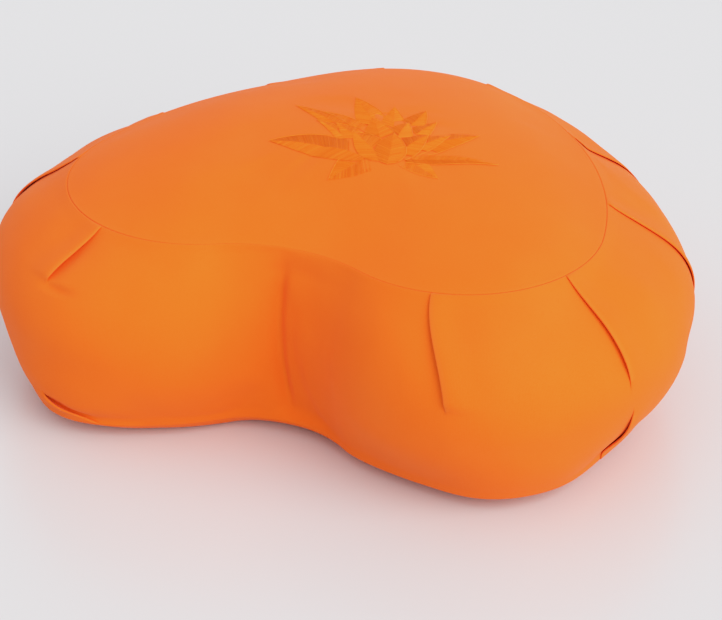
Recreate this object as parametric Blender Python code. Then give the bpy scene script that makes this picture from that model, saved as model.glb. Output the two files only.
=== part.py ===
"""Crescent zafu: a pleated meditation cushion sewn from a top panel, a side band and a bottom panel.

Metres, +Z up. The cushion stands on z = 0, its hollow side faces -Y, and its two front lobes lie along X.
"""

import math

import bmesh
import bpy
import numpy as np

# ---- Plan of the seam: three lobes, two flat arcs that join them, and a hollow arc in front ----
FRONT_LOBE_HALF_SPACING = 0.087
FRONT_LOBE_RADIUS = 0.088
BACK_LOBE_CENTRE = (0.008, 0.058)
BACK_LOBE_RADIUS = 0.1355
JOINING_RADIUS = 0.250
HOLLOW_RADIUS = 0.109

# ---- Section of the band, from the top seam down to the bottom seam ----
TOP_SEAM_HEIGHT = 0.1345
BOTTOM_SEAM_HEIGHT = 0.011
BOTTOM_SEAM_FLARE = 0.030
TOP_REACH = 0.067
TOP_SLOPE_DEG = 27.5
BOTTOM_REACH = 0.0755
BOTTOM_SLOPE_DEG = 57.0

# How far the band bulges out, as a share of that section, in the middle of each lobe and the hollow.
SWELL_BACK = 1.02
SWELL_FRONT = 1.01
SWELL_HOLLOW = 0.16

# ---- Crown, cloth and gaps ----
CROWN_HEIGHT = 0.034
CROWN_CENTRE = (0.005, 0.062)
CLOTH = 0.0015
GAP = 0.0003
REST_FACE_SHARE = 0.84

# ---- Mesh ----
EVEN_COLUMNS = 64
BAND_ROWS = 14
CROWN_RINGS = (0.93, 0.80, 0.62, 0.42, 0.20)
REST_RINGS = (0.95, 0.90, REST_FACE_SHARE, 0.40)
CLOSEST_COLUMNS = 0.0045

# ---- Pleats: name, where each starts on the seam as a share of the way round clockwise from the
# middle of the back, how far it reaches down from the top and up from the foot, and its depth ----
PLEATS = (
    ("right_back", 0.018, 0.070, 0.035, 0.0040),
    ("right_shoulder", 0.113, 0.075, 0.035, 0.0040),
    ("right_side", 0.204, 0.085, 0.035, 0.0045),
    ("right_front", 0.299, 0.080, 0.060, 0.0050),
    ("right_bay", 0.383, 0.075, 0.000, 0.0035),
    ("left_front", 0.603, 0.050, 0.030, 0.0050),
    ("left_side", 0.703, 0.080, 0.035, 0.0050),
    ("left_shoulder", 0.785, 0.075, 0.035, 0.0040),
    ("left_back", 0.866, 0.080, 0.035, 0.0040),
    ("middle_back", 0.945, 0.070, 0.035, 0.0040),
)
PLEAT_HALF_WIDTH = 0.009
PLEAT_OPENING = 0.008
LIP_SHARE = 0.35
PLEAT_STATIONS = (-1.0, -0.35, 0.0, 0.35, 1.0)

# ---- The furrow down the hollow front, just short of its middle ----
FURROW_PLACE = 0.481
FURROW_DEPTH = 0.006
FURROW_HALF_WIDTH = 0.022

COTTON = {"colour": (0.84, 0.22, 0.035), "roughness": 0.85, "metallic": 0.0}


def clear_scene():
    for thing in list(bpy.data.objects):
        bpy.data.objects.remove(thing, do_unlink=True)


# ---- The seam's plan ----


def circles_meet(first, first_radius, second, second_radius):
    """The point at these distances from two centres, on the right hand of the way between them."""
    way = np.subtract(second, first)
    apart = math.hypot(*way)
    along = (first_radius**2 - second_radius**2 + apart**2) / (2 * apart)
    aside = math.sqrt(first_radius**2 - along**2)
    right_hand = np.array((way[1], -way[0]))
    return np.array(first) + (way * along + right_hand * aside) / apart


def bearing(start, end):
    return math.atan2(end[1] - start[1], end[0] - start[0])


def clockwise(start, end):
    """The same end angle, but within one turn below the start."""
    return start - (start - end) % (2 * math.pi)


def seam_arcs():
    """The seam's arcs, clockwise from the back lobe, as centre, radius, start, end and outward sign."""
    left = np.array((-FRONT_LOBE_HALF_SPACING, 0.0))
    right = np.array((FRONT_LOBE_HALF_SPACING, 0.0))
    back = np.array(BACK_LOBE_CENTRE)
    inside_back = JOINING_RADIUS - BACK_LOBE_RADIUS
    inside_front = JOINING_RADIUS - FRONT_LOBE_RADIUS
    right_join = circles_meet(back, inside_back, right, inside_front)
    left_join = circles_meet(left, inside_front, back, inside_back)
    outside_front = HOLLOW_RADIUS + FRONT_LOBE_RADIUS
    hollow = circles_meet(left, outside_front, right, outside_front)
    bends = (
        (back, BACK_LOBE_RADIUS, bearing(left_join, back), bearing(right_join, back)),
        (right_join, JOINING_RADIUS, bearing(right_join, back), bearing(right_join, right)),
        (right, FRONT_LOBE_RADIUS, bearing(right_join, right), bearing(right, hollow)),
        (hollow, HOLLOW_RADIUS, bearing(hollow, right), bearing(hollow, left)),
        (left, FRONT_LOBE_RADIUS, bearing(left, hollow), bearing(left_join, left)),
        (left_join, JOINING_RADIUS, bearing(left_join, left), bearing(left_join, back)),
    )
    arcs = []
    for centre, radius, start, end in bends:
        outward = -1 if centre is hollow else 1
        turned = end if centre is hollow else clockwise(start, end)
        arcs.append((centre, radius, start, turned, outward))
    return arcs


ARCS = seam_arcs()
ARC_LENGTHS = [abs(end - start) * radius for _, radius, start, end, _ in ARCS]
SEAM_LENGTH = sum(ARC_LENGTHS)
BACK, RIGHT, HOLLOW, LEFT = 0, 2, 3, 4


def seam_at(place):
    """The point and the outward direction in plan, at a share of the way round."""
    run = (place * SEAM_LENGTH + ARC_LENGTHS[BACK] / 2) % SEAM_LENGTH
    for (centre, radius, start, end, outward), length in zip(ARCS, ARC_LENGTHS):
        if run <= length:
            break
        run -= length
    angle = start + (end - start) * min(run / length, 1.0)
    ray = np.array((math.cos(angle), math.sin(angle)))
    return centre + radius * ray, outward * ray


def middle_of_arc(index):
    """The share of the way round at which an arc has its middle."""
    run = sum(ARC_LENGTHS[:index]) + ARC_LENGTHS[index] / 2 - ARC_LENGTHS[BACK] / 2
    return run / SEAM_LENGTH


def metres_round(place, other):
    """The way along the seam from one place to another, signed, the short way round."""
    return ((place - other + 0.5) % 1.0 - 0.5) * SEAM_LENGTH


# ---- The band's section ----


def swell_at(place):
    """How far the band bulges here, eased from one lobe or hollow to the next."""
    stations = (
        (0.0, SWELL_BACK),
        (middle_of_arc(RIGHT), SWELL_FRONT),
        (middle_of_arc(HOLLOW), SWELL_HOLLOW),
        (middle_of_arc(LEFT), SWELL_FRONT),
        (1.0, SWELL_BACK),
    )
    for (start, low), (end, high) in zip(stations, stations[1:]):
        if place <= end:
            share = (place - start) / (end - start)
            eased = share * share * (3 - 2 * share)
            return low + (high - low) * eased
    return SWELL_BACK


def band_section(drop):
    """Outward offset and height on the band, for drop 0 at the top seam and 1 at the bottom one."""
    top = math.radians(TOP_SLOPE_DEG)
    foot = math.radians(BOTTOM_SLOPE_DEG)
    handles = (
        (0.0, TOP_SEAM_HEIGHT),
        (TOP_REACH * math.cos(top), TOP_SEAM_HEIGHT - TOP_REACH * math.sin(top)),
        (
            BOTTOM_SEAM_FLARE + BOTTOM_REACH * math.cos(foot),
            BOTTOM_SEAM_HEIGHT + BOTTOM_REACH * math.sin(foot),
        ),
        (BOTTOM_SEAM_FLARE, BOTTOM_SEAM_HEIGHT),
    )
    weights = (
        (1 - drop) ** 3,
        3 * (1 - drop) ** 2 * drop,
        3 * (1 - drop) * drop**2,
        drop**3,
    )
    return sum(weight * np.array(handle) for weight, handle in zip(weights, handles))


def section_length(steps=64):
    """The way down the band from seam to seam, in metres."""
    points = [band_section(step / steps) for step in range(steps + 1)]
    return sum(math.dist(a, b) for a, b in zip(points, points[1:]))


BAND_LENGTH = section_length()


def fade(way, reach):
    """A pleat's depth as a share: none in the seam itself, full just off it, easing to none."""
    if reach <= 0 or way >= reach:
        return 0.0
    share = way / reach
    opening = min(way / PLEAT_OPENING, 1.0)
    return opening * (1 - share * share) ** 2


def fold_depth(place, drop):
    """How far pleats and furrow draw the band in here, less than nothing where a lip stands out."""
    drawn = 0.0
    for _, start, top_reach, foot_reach, depth in PLEATS:
        off = metres_round(place, start) / PLEAT_HALF_WIDTH
        if abs(off) >= 1:
            continue
        valley = (1 - off * off) ** 2
        lip = LIP_SHARE * math.sin(math.pi * off) * (1 - abs(off))
        from_top = fade(drop * BAND_LENGTH, top_reach)
        from_foot = fade((1 - drop) * BAND_LENGTH, foot_reach)
        drawn += depth * max(from_top, from_foot) * (valley - lip)
    off = metres_round(place, FURROW_PLACE) / FURROW_HALF_WIDTH
    if abs(off) < 1:
        drawn += FURROW_DEPTH * (1 - off * off) ** 2 * math.sin(math.pi * drop)
    return drawn


# ---- Rings and closed meshes ----


def column_places():
    """Evenly spread columns, with closer ones across each pleat."""
    places = []
    for pleat in PLEATS:
        for station in PLEAT_STATIONS:
            shift = station * PLEAT_HALF_WIDTH / SEAM_LENGTH
            places.append((pleat[1] + shift) % 1.0)
    for index in range(EVEN_COLUMNS):
        place = index / EVEN_COLUMNS
        nearest = min(abs(metres_round(place, other)) for other in places)
        if nearest > CLOSEST_COLUMNS:
            places.append(place)
    return sorted(places)


def band_ring(places, drop, lowered=0.0):
    offset, height = band_section(drop)
    points = []
    for place in places:
        point, outward = seam_at(place)
        plan = point + outward * (offset * swell_at(place) - fold_depth(place, drop))
        points.append((plan[0], plan[1], height - lowered))
    return points


def drawn_in(ring, share, height):
    """A ring drawn in towards the crown's centre in plan, at one height."""
    middle_x, middle_y = CROWN_CENTRE
    return [
        (middle_x + (x - middle_x) * share, middle_y + (y - middle_y) * share, height)
        for x, y, _ in ring
    ]


def crown_height(share):
    return TOP_SEAM_HEIGHT + CROWN_HEIGHT * (1 - share * share)


def rest_height(share):
    """The underside: flat on the floor inside the rest face, then rising to the bottom seam."""
    if share <= REST_FACE_SHARE:
        return 0.0
    rise = (share - REST_FACE_SHARE) / (1 - REST_FACE_SHARE)
    return BOTTOM_SEAM_HEIGHT * rise * rise


def closed_mesh(name, rings, poles):
    """One closed body from rings of equal length, a pole before the first and one after the last."""
    shape = bmesh.new()
    loops = [[shape.verts.new(point) for point in ring] for ring in rings]
    first = shape.verts.new(poles[0])
    last = shape.verts.new(poles[1])
    count = len(rings[0])
    for index in range(count):
        following = (index + 1) % count
        shape.faces.new((first, loops[0][following], loops[0][index]))
        shape.faces.new((last, loops[-1][index], loops[-1][following]))
        for upper, lower in zip(loops, loops[1:]):
            shape.faces.new(
                (upper[index], upper[following], lower[following], lower[index])
            )
    bmesh.ops.recalc_face_normals(shape, faces=shape.faces)
    mesh = bpy.data.meshes.new(name)
    shape.to_mesh(mesh)
    shape.free()
    mesh.shade_smooth()
    mesh.set_sharp_from_angle(angle=math.radians(50))
    return mesh


def cotton_material(name):
    material = bpy.data.materials.new(name)
    material.use_nodes = True
    shader = material.node_tree.nodes["Principled BSDF"]
    shader.inputs["Base Color"].default_value = (*COTTON["colour"], 1.0)
    shader.inputs["Roughness"].default_value = COTTON["roughness"]
    shader.inputs["Metallic"].default_value = COTTON["metallic"]
    return material


def add_node(name, rings, poles):
    """One node, moved so that the band's box has its middle over the origin."""
    mesh = closed_mesh(name, rings, poles)
    mesh.materials.append(cotton_material(name + "_cotton"))
    node = bpy.data.objects.new(name, mesh)
    node.location = (-PLAN_MIDDLE[0], -PLAN_MIDDLE[1], 0.0)
    bpy.context.scene.collection.objects.link(node)


def add_top_panel(places):
    """The crowned sheet on top: its outer face, then its inner face."""
    rim = band_ring(places, 0.0)
    outer = [drawn_in(rim, share, crown_height(share)) for share in reversed(CROWN_RINGS)]
    under_rim = drawn_in(rim, 1.0, TOP_SEAM_HEIGHT - CLOTH)
    inner = [drawn_in(rim, share, crown_height(share) - CLOTH) for share in CROWN_RINGS]
    peak = crown_height(0.0)
    poles = ((*CROWN_CENTRE, peak), (*CROWN_CENTRE, peak - CLOTH))
    add_node("top_panel", [*outer, rim, under_rim, *inner], poles)


def add_side_band(places):
    """The filled body: the pleated band outside, closed over the filling under both panels."""
    clear = CLOTH + GAP
    rim = band_ring(places, 0.0, lowered=clear)
    cap = [drawn_in(rim, share, crown_height(share) - clear) for share in reversed(CROWN_RINGS)]
    band = [band_ring(places, row / BAND_ROWS) for row in range(1, BAND_ROWS)]
    foot = band_ring(places, 1.0, lowered=-clear)
    base = [drawn_in(foot, share, rest_height(share) + clear) for share in REST_RINGS]
    poles = ((*CROWN_CENTRE, crown_height(0.0) - clear), (*CROWN_CENTRE, clear))
    add_node("side_band", [*cap, rim, *band, foot, *base], poles)


def add_bottom_panel(places):
    """The sheet underneath: its inner face, then its outer face, flat where the cushion rests."""
    edge = band_ring(places, 1.0)
    inner = [drawn_in(edge, share, rest_height(share) + CLOTH) for share in reversed(REST_RINGS)]
    upper_edge = drawn_in(edge, 1.0, BOTTOM_SEAM_HEIGHT + CLOTH)
    outer = [drawn_in(edge, share, rest_height(share)) for share in REST_RINGS]
    poles = ((*CROWN_CENTRE, CLOTH), (*CROWN_CENTRE, 0.0))
    add_node("bottom_panel", [*inner, upper_edge, edge, *outer], poles)


def plan_middle(places):
    """The middle of the band's box in plan, before it is moved over the origin."""
    rings = [band_ring(places, row / BAND_ROWS) for row in range(BAND_ROWS + 1)]
    plans = np.array(rings)[..., :2].reshape(-1, 2)
    return (plans.min(axis=0) + plans.max(axis=0)) / 2


PLACES = column_places()
PLAN_MIDDLE = plan_middle(PLACES)


def main():
    clear_scene()
    add_top_panel(PLACES)
    add_side_band(PLACES)
    add_bottom_panel(PLACES)


main()
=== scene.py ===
# %% [markdown]
# # A crescent meditation cushion
#
# A zafu is a firm floor cushion filled with buckwheat hulls. This one is sewn from three pieces of
# woven cotton: a kidney-shaped top with an embroidered lotus, a long side band that is folded into
# pleats where it goes round the lobes, and a plain underside. The lesson builds the filled form
# first, lets Blender's Cloth press it out, and then makes each piece of cloth from that form.
#
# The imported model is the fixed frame. Everything below is in metres, with the floor at z = 0.

# %% Load the frame
import math
from collections import namedtuple

import bmesh
import bpy
import numpy as np
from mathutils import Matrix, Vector, noise
from mathutils.bvhtree import BVHTree


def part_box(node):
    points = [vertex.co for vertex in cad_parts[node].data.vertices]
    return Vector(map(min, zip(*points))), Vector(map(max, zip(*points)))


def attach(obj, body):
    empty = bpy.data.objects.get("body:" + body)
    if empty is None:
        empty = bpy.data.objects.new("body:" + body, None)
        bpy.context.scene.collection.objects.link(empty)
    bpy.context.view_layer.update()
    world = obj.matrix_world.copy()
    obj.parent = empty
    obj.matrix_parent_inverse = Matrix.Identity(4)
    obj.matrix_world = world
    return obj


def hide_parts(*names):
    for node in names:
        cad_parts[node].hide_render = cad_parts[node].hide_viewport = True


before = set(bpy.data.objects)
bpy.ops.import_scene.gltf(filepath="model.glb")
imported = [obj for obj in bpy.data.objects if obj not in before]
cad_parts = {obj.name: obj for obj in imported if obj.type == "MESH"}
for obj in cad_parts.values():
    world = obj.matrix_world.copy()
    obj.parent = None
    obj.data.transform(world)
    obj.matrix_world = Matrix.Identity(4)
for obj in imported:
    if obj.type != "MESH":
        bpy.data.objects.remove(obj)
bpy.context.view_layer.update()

# %% [markdown]
# ## The camera
# The camera looks slightly down on the hollow front from the right. A long lens keeps the two
# lobes nearly the same size, as a studio picture of a product does.

# %% Camera
AZIMUTH_DEG = 20.5
ELEVATION_DEG = 30.5
DISTANCE = 1.562
LENS_MM = 122.8
TARGET = Vector((0.026, -0.077, 0.070))


def away_from(azimuth_deg, elevation_deg):
    """The direction from the object to a camera at these angles."""
    azimuth, elevation = math.radians(azimuth_deg), math.radians(elevation_deg)
    return Vector((
        math.sin(azimuth) * math.cos(elevation),
        -math.cos(azimuth) * math.cos(elevation),
        math.sin(elevation),
    ))


def placed(name, data):
    """An object with this data, linked into the scene."""
    made = bpy.data.objects.new(name, data)
    scene.collection.objects.link(made)
    return made


scene = bpy.context.scene
camera_data = bpy.data.cameras.new("studio_camera")
camera_data.lens = LENS_MM
camera = placed("studio_camera", camera_data)
away = away_from(AZIMUTH_DEG, ELEVATION_DEG)
camera.location = TARGET + away * DISTANCE
camera.rotation_euler = away.to_track_quat("Z", "Y").to_euler()
scene.camera = camera
print("camera stands at", [round(c, 3) for c in camera.location])

# %% [markdown]
# ## The seam's plan
# The top seam is drawn as a pattern cutter would with a pair of compasses: one big lobe at the
# back, two smaller ones in front, two flat arcs that join them, and a hollow arc between the
# front lobes. A place on the seam is a share of the way round, clockwise seen from above, from 0
# in the middle of the back.

# %% Compass arcs
LOBE_HALF_SPACING, LOBE_RADIUS = 0.087, 0.088
BACK_CENTRE, BACK_RADIUS = (0.008, 0.058), 0.1355
JOINING_RADIUS, HOLLOW_RADIUS = 0.250, 0.109


def circles_meet(first, first_radius, second, second_radius):
    """The point at these distances from two centres, on the right hand of the way between them."""
    way = np.subtract(second, first)
    apart = math.hypot(*way)
    along = (first_radius**2 - second_radius**2 + apart**2) / (2 * apart)
    aside = math.sqrt(first_radius**2 - along**2)
    return np.array(first) + (way * along + np.array((way[1], -way[0])) * aside) / apart


def bearing(start, end):
    return math.atan2(end[1] - start[1], end[0] - start[0])


def seam_arcs():
    """Rows of centre x and y, radius, start angle, turn and outward sign, from the back."""
    left, right = np.array((-LOBE_HALF_SPACING, 0.0)), np.array((LOBE_HALF_SPACING, 0.0))
    back = np.array(BACK_CENTRE)
    in_back, in_front = JOINING_RADIUS - BACK_RADIUS, JOINING_RADIUS - LOBE_RADIUS
    right_join = circles_meet(back, in_back, right, in_front)
    left_join = circles_meet(left, in_front, back, in_back)
    out_front = HOLLOW_RADIUS + LOBE_RADIUS
    hollow = circles_meet(left, out_front, right, out_front)
    bends = (
        (back, BACK_RADIUS, bearing(left_join, back), bearing(right_join, back)),
        (right_join, JOINING_RADIUS, bearing(right_join, back), bearing(right_join, right)),
        (right, LOBE_RADIUS, bearing(right_join, right), bearing(right, hollow)),
        (hollow, HOLLOW_RADIUS, bearing(hollow, right), bearing(hollow, left)),
        (left, LOBE_RADIUS, bearing(left, hollow), bearing(left_join, left)),
        (left_join, JOINING_RADIUS, bearing(left_join, left), bearing(left_join, back)),
    )
    rows = []
    for centre, radius, start, end in bends:
        if centre is hollow:
            turn, sign = end - start, -1
        else:
            turn, sign = -((start - end) % (2 * math.pi)), 1
        rows.append((*centre, radius, start, turn, sign))
    return np.array(rows)


ARCS = seam_arcs()
ARC_LENGTHS = np.abs(ARCS[:, 4]) * ARCS[:, 2]
ARC_ENDS = np.concatenate(([0.0], np.cumsum(ARC_LENGTHS)))
SEAM_LENGTH = ARC_ENDS[-1]
MIDDLES = (ARC_ENDS[:-1] + ARC_LENGTHS / 2 - ARC_LENGTHS[0] / 2) / SEAM_LENGTH
RIGHT_LOBE, HOLLOW, LEFT_LOBE = MIDDLES[2], MIDDLES[3], MIDDLES[4]
print(f"seam {SEAM_LENGTH:.3f} m, hollow at {HOLLOW:.3f} of the way round")


def seam_at(places):
    """Points of the seam and outward directions in plan, for an array of places."""
    run = (np.asarray(places, float) * SEAM_LENGTH + ARC_LENGTHS[0] / 2) % SEAM_LENGTH
    index = np.clip(np.searchsorted(ARC_ENDS, run, side="right") - 1, 0, len(ARCS) - 1)
    arc = ARCS[index]
    angle = arc[..., 3] + arc[..., 4] * (run - ARC_ENDS[index]) / ARC_LENGTHS[index]
    ray = np.stack((np.cos(angle), np.sin(angle)), axis=-1)
    return arc[..., :2] + arc[..., 2:3] * ray, arc[..., 5:6] * ray


def metres_round(places, other):
    """The signed way along the seam from one place to others, the short way round."""
    return ((np.asarray(places) - other + 0.5) % 1.0 - 0.5) * SEAM_LENGTH


# %% [markdown]
# ## The filled form
# Hulls push the band out into a full curve over the lobes, and the tight hollow holds it back.
# One cubic curve gives the band's section from the top seam to the foot, and a swell factor says
# how much of it each place takes.

# %% The band's section
TOP_SEAM_HEIGHT, FOOT_SEAM_HEIGHT, FOOT_FLARE = 0.1345, 0.011, 0.030
TOP_REACH, TOP_SLOPE = 0.067, math.radians(27.5)
FOOT_REACH, FOOT_SLOPE = 0.0755, math.radians(57.0)
HANDLES = np.array((
    (0.0, TOP_SEAM_HEIGHT),
    (TOP_REACH * math.cos(TOP_SLOPE), TOP_SEAM_HEIGHT - TOP_REACH * math.sin(TOP_SLOPE)),
    (FOOT_FLARE + FOOT_REACH * math.cos(FOOT_SLOPE),
     FOOT_SEAM_HEIGHT + FOOT_REACH * math.sin(FOOT_SLOPE)),
    (FOOT_FLARE, FOOT_SEAM_HEIGHT),
))


def eased(share):
    share = np.clip(share, 0.0, 1.0)
    return share * share * (3 - 2 * share)


def curve_at(drop):
    """Outward offset and height for a share of the cubic curve."""
    drop = np.asarray(drop, float)[..., None]
    weights = ((1 - drop) ** 3, 3 * (1 - drop) ** 2 * drop, 3 * (1 - drop) * drop**2, drop**3)
    return sum(weight * handle for weight, handle in zip(weights, HANDLES))


DROPS = np.linspace(0.0, 1.0, 401)
STEPS = np.linalg.norm(np.diff(curve_at(DROPS), axis=0), axis=1)
WAYS = np.concatenate(([0.0], np.cumsum(STEPS)))
BAND_HEIGHT = WAYS[-1]
print(f"the band is {1000 * BAND_HEIGHT:.0f} mm from seam to seam")

SWELL_PLACES = np.array((0.0, RIGHT_LOBE, HOLLOW, LEFT_LOBE, 1.0))
SWELLS = np.array((1.02, 1.01, 0.16, 1.01, 1.02))


def swell_at(places):
    """How far the band bulges at each place, eased from one lobe or hollow to the next."""
    places = np.asarray(places, float) % 1.0
    index = np.clip(np.searchsorted(SWELL_PLACES, places, side="right") - 1, 0, len(SWELLS) - 2)
    start, low = SWELL_PLACES[index], SWELLS[index]
    share = eased((places - start) / (SWELL_PLACES[index + 1] - start))
    return low + (SWELLS[index + 1] - low) * share


# A filled cushion is never quite even. Each row: place, way down, reach round, reach down, and
# how much further out the hulls lie there.
UNEVEN = (
    (0.612, 0.150, 0.048, 0.055, 0.0100),
    (0.535, 0.154, 0.055, 0.045, -0.0055),
    (0.395, 0.154, 0.042, 0.045, -0.0050),
    (0.335, 0.150, 0.050, 0.050, 0.0060),
    (0.285, 0.152, 0.040, 0.040, -0.0030),
    (0.215, 0.075, 0.075, 0.060, 0.0040),
    (0.100, 0.020, 0.080, 0.050, -0.0062),
    (0.652, 0.095, 0.060, 0.075, -0.0038),
    (0.606, 0.147, 0.020, 0.016, 0.0025),
    (0.463, 0.085, 0.042, 0.085, 0.0048),
)
BACK_LIFT, BACK_LIFT_PLACE, BACK_LIFT_REACH = 0.0050, 0.972, 0.120


def bump(off, reach):
    """A smooth hump: 1 in the middle, 0 at its reach and beyond."""
    return np.clip(1 - (off / reach) ** 2, 0, 1) ** 2


def uneven_at(places, ways):
    """How much further out than the plain section the filling lies."""
    return sum(
        out * bump(metres_round(places, place), round_reach) * bump(ways - way, down_reach)
        for place, way, round_reach, down_reach, out in UNEVEN
    )


def back_lift(places):
    """The back is filled a little higher than the front."""
    return BACK_LIFT * bump(metres_round(places, BACK_LIFT_PLACE), BACK_LIFT_REACH)


def raised(plan, height):
    """Points from their places in plan, brought under the cushion's box, and their heights."""
    return np.concatenate((plan - PLAN_MIDDLE, height[..., None]), axis=-1)


def plain_band(places, ways):
    """Points on the plain band, for arrays of places and ways down from the top seam."""
    offset, height = np.moveaxis(curve_at(np.interp(ways, WAYS, DROPS)), -1, 0)
    point, outward = seam_at(places)
    out = offset * swell_at(places) + uneven_at(places, ways) * eased(ways / 0.02)
    height = height + back_lift(places) * (1 - ways / BAND_HEIGHT)
    return raised(point + outward * out[..., None], height)


PLAN_MIDDLE = np.zeros(2)
every_place, every_way = np.linspace(0, 1, 400, endpoint=False), np.linspace(0, BAND_HEIGHT, 60)
extent = plain_band(*np.meshgrid(every_place, every_way)).reshape(-1, 3)
band_middle = sum(np.array(corner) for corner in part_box("side_band")) / 2
PLAN_MIDDLE = ((extent.min(axis=0) + extent.max(axis=0)) / 2)[:2] - band_middle[:2]
print("middle of the plan lies at", np.round(PLAN_MIDDLE, 4))

# %% [markdown]
# The crown is the shape that a skin takes when it is pressed up from below and held at its rim,
# so it is solved as that. The panel is a fan of triangles drawn in towards its middle, each point
# is tied to its neighbours by the cotangents of the angles between them, and conjugate gradients
# find the heights at which every point is pressed equally.

# %% The crown
CROWN_HEIGHT = 0.034
CROWN_CENTRE = np.array((0.005, 0.062))
CROWN_COLUMNS, CROWN_RINGS = 160, 36


def ring_quads(rows, columns):
    """Faces between rows of points that go round: two corners on a row, then two on the next."""
    here = np.arange((rows - 1) * columns).reshape(-1, columns)
    following = np.roll(here, -1, axis=1)
    quads = np.stack((here, following, following + columns, here + columns), axis=-1)
    return quads.reshape(-1, 4)


def cap(ring, pole):
    """Triangles between a ring of points and a pole."""
    return np.stack((ring, np.roll(ring, -1), np.full(len(ring), pole)), axis=-1)


def fan(columns, rings):
    """Triangles of rings of points round a pole, the outermost ring first and the pole last."""
    pole = columns * rings
    split = ring_quads(rings, columns)[:, (0, 1, 2, 0, 2, 3)].reshape(-1, 3)
    return np.concatenate((split, cap(np.arange(pole - columns, pole), pole)))


def pressed_up(plan, faces, held):
    """Heights of a skin pressed evenly from below and held at its first points, highest at 1."""
    count = len(plan)
    first, second, weight = [], [], []
    load = np.zeros(count)
    for a, b, c in ((0, 1, 2), (1, 2, 0), (2, 0, 1)):
        to_b = plan[faces[:, b]] - plan[faces[:, a]]
        to_c = plan[faces[:, c]] - plan[faces[:, a]]
        area2 = np.abs(to_b[:, 0] * to_c[:, 1] - to_b[:, 1] * to_c[:, 0])
        first.append(faces[:, b])
        second.append(faces[:, c])
        weight.append((to_b * to_c).sum(axis=1) / area2 / 2)
        load += np.bincount(faces[:, a], area2 / 6, count)
    first, second, weight = map(np.concatenate, (first, second, weight))
    total = np.bincount(first, weight, count) + np.bincount(second, weight, count)
    load[:held] = 0.0

    def pull(heights):
        result = total * heights
        result -= np.bincount(first, weight * heights[second], count)
        result -= np.bincount(second, weight * heights[first], count)
        result[:held] = 0.0
        return result

    heights, left = np.zeros(count), load.copy()
    scaled = left / total
    way = scaled.copy()
    size = left @ scaled
    for _ in range(600):
        pulled = pull(way)
        step = size / (way @ pulled)
        heights += step * way
        left -= step * pulled
        scaled = left / total
        size, before = left @ scaled, size
        if size < 1e-18:
            break
        way = scaled + (size / before) * way
    return heights / heights.max()


rim = seam_at(np.arange(CROWN_COLUMNS) / CROWN_COLUMNS)[0]
crown_shares = np.linspace(1.0, 0.0, CROWN_RINGS + 1)[:-1, None, None]
crown_plan = (CROWN_CENTRE + (rim - CROWN_CENTRE) * crown_shares).reshape(-1, 2)
crown_plan = np.vstack((crown_plan, CROWN_CENTRE))
crown_heights = pressed_up(crown_plan, fan(CROWN_COLUMNS, CROWN_RINGS), CROWN_COLUMNS)
crown_rows = crown_heights[:-1].reshape(CROWN_RINGS, CROWN_COLUMNS)
CROWN_TABLE = np.vstack((crown_rows, np.full(CROWN_COLUMNS, crown_heights[-1])))
highest = crown_plan[crown_heights.argmax()] - PLAN_MIDDLE
print("the crown is highest at", np.round(highest, 3))


CUBICS = ((-0.5, 1, -0.5, 0), (1.5, -2.5, 0, 1), (-1.5, 2, 0.5, 0), (0.5, -0.5, 0, 0))


def smooth_lookup(table, row, column):
    """Values between a table's points by cubic weights. Its columns go round, its rows end."""
    rows, columns = table.shape
    row0, column0 = np.floor(row).astype(int), np.floor(column).astype(int)
    by_row, by_column = (
        [np.polyval(cubic, part) for cubic in CUBICS] for part in (row - row0, column - column0)
    )
    total = 0.0
    for i in range(4):
        at_row = np.clip(row0 + i - 1, 0, rows - 1)
        for j in range(4):
            value = table[at_row, (column0 + j - 1) % columns]
            total = total + value * (by_row[i] * by_column[j])
    return total


def plain_top(places, shares):
    """Points on the crowned top, for places round the rim and shares of the way out to it."""
    plan = CROWN_CENTRE + (seam_at(places)[0] - CROWN_CENTRE) * np.asarray(shares)[..., None]
    lift = smooth_lookup(CROWN_TABLE, (1 - shares) * CROWN_RINGS, (places % 1.0) * CROWN_COLUMNS)
    height = TOP_SEAM_HEIGHT + CROWN_HEIGHT * lift + back_lift(places) * shares**2
    return raised(plan, height)


REST_SHARE = 0.84  # how much of the way out the underside lies flat


def plain_base(places, shares):
    """Points on the underside: flat on the floor in the middle, rising to the foot seam."""
    point, outward = seam_at(places)
    flare = FOOT_FLARE * swell_at(places) + uneven_at(places, BAND_HEIGHT)
    edge = point + outward * flare[..., None]
    plan = CROWN_CENTRE + (edge - CROWN_CENTRE) * np.asarray(shares)[..., None]
    rise = np.clip((shares - REST_SHARE) / (1 - REST_SHARE), 0.0, 1.0)
    return raised(plan, FOOT_SEAM_HEIGHT * rise * rise)


NORMAL_STEP = 0.0006


def unit(vectors):
    return vectors / np.linalg.norm(vectors, axis=-1, keepdims=True)


def outward_normals(surface, places, ways, step_way=NORMAL_STEP):
    """Directions straight out of a surface, whose second number grows downwards or outwards."""
    across = surface(places + NORMAL_STEP, ways) - surface(places - NORMAL_STEP, ways)
    down = surface(places, ways + step_way) - surface(places, ways - step_way)
    return unit(np.cross(across, down))


# %% [markdown]
# ## Filling pressure
# The filling presses the cloth out between the two sewn seams. Blender's cloth solver works that
# out on a coarse copy of the whole skin: the copy starts a little smaller than the cushion and has
# a little more cloth than it needs, its two seams are held, and 20 frames of pressure from inside
# let it find its own swells and puckers. The broad form is set above, so only what is finer than a
# few centimetres is kept of the movement, and no more than 0.8 mm of it.

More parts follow.
